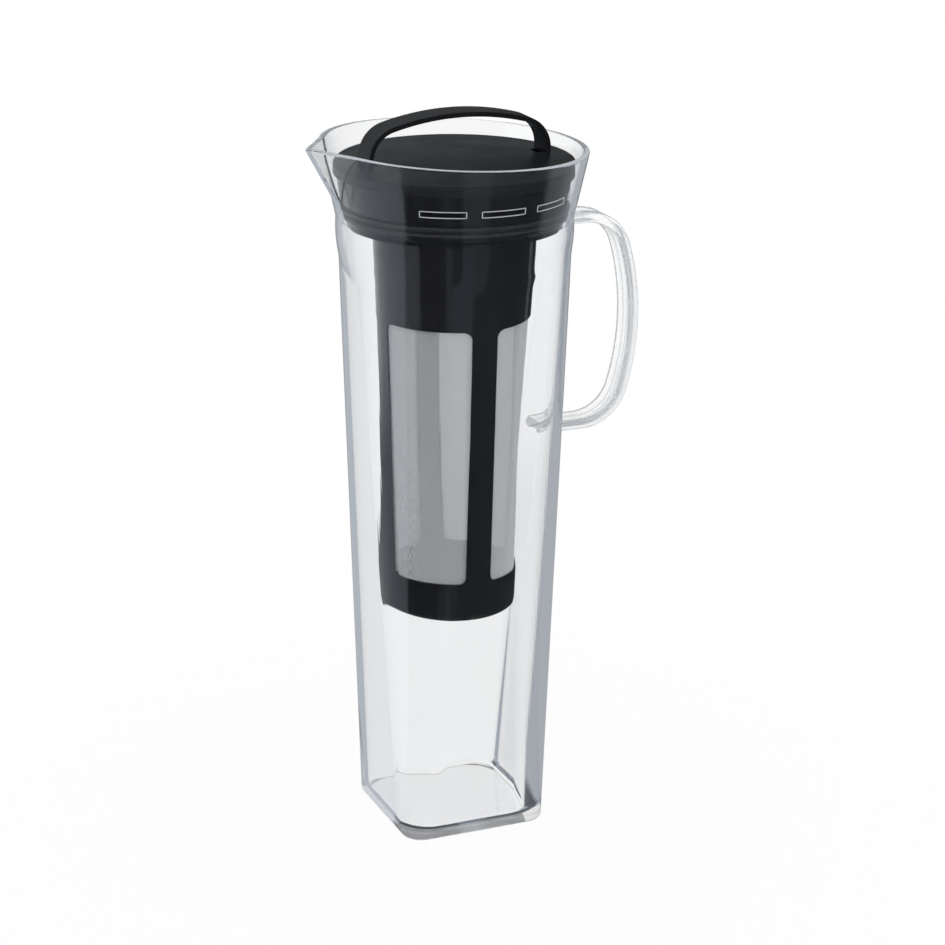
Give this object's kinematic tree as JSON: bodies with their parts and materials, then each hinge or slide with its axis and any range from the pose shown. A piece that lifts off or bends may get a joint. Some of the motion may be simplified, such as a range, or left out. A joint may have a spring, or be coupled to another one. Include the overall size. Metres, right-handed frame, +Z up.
{
  "type": "cold brew coffee maker",
  "caption": "Slim clear pitcher with a beak spout and strap handle, a strainer lid with a carrying arch, and a tapered mesh filter basket that hangs from the lid.",
  "frame": {"origin": "centre of the base at table level, on the pitcher's axis", "axes": "+Z up, +X towards the pitcher's handle, -X towards the spout"},
  "size_m": [0.1393, 0.1044, 0.2923],
  "materials": {
    "clear_plastic": "clear, polished",
    "black_satin": "fine satin moulding",
    "black_gloss": "smooth moulding",
    "seal_rubber": "matte silicone",
    "filter_mesh": "fine woven mesh"
  },
  "bodies": {
    "pitcher": {"pitcher_body": "clear_plastic", "pitcher_handle": "clear_plastic"},
    "seal": {"neck_seal": "seal_rubber"},
    "lid": {"lid_disc": "black_satin", "lid_plug": "black_gloss", "lid_handle": "black_satin"},
    "filter": {"filter_frame": "black_gloss", "filter_ring": "seal_rubber", "cap_ring": "seal_rubber", "mesh_back_right": "filter_mesh", "mesh_back_left": "filter_mesh", "mesh_front_left": "filter_mesh", "mesh_front_right": "filter_mesh"},
    "cap": {"filter_cap": "black_gloss"}
  },
  "joints": [
    {"name": "lid_lift", "type": "slide", "parent": "pitcher", "child": "seal", "axis": [0, 0, 1], "range_m": [0, 0.2]},
    {"name": "lid_turn", "type": "hinge", "parent": "seal", "child": "lid", "pos_m": [0, 0, 0.27], "axis": [0, 0, 1], "continuous": true},
    {"name": "filter_pull", "type": "slide", "parent": "lid", "child": "filter", "axis": [0, 0, -1], "range_m": [0, 0.03]},
    {"name": "cap_pull", "type": "slide", "parent": "filter", "child": "cap", "axis": [0, 0, -1], "range_m": [0, 0.02]}
  ]
}
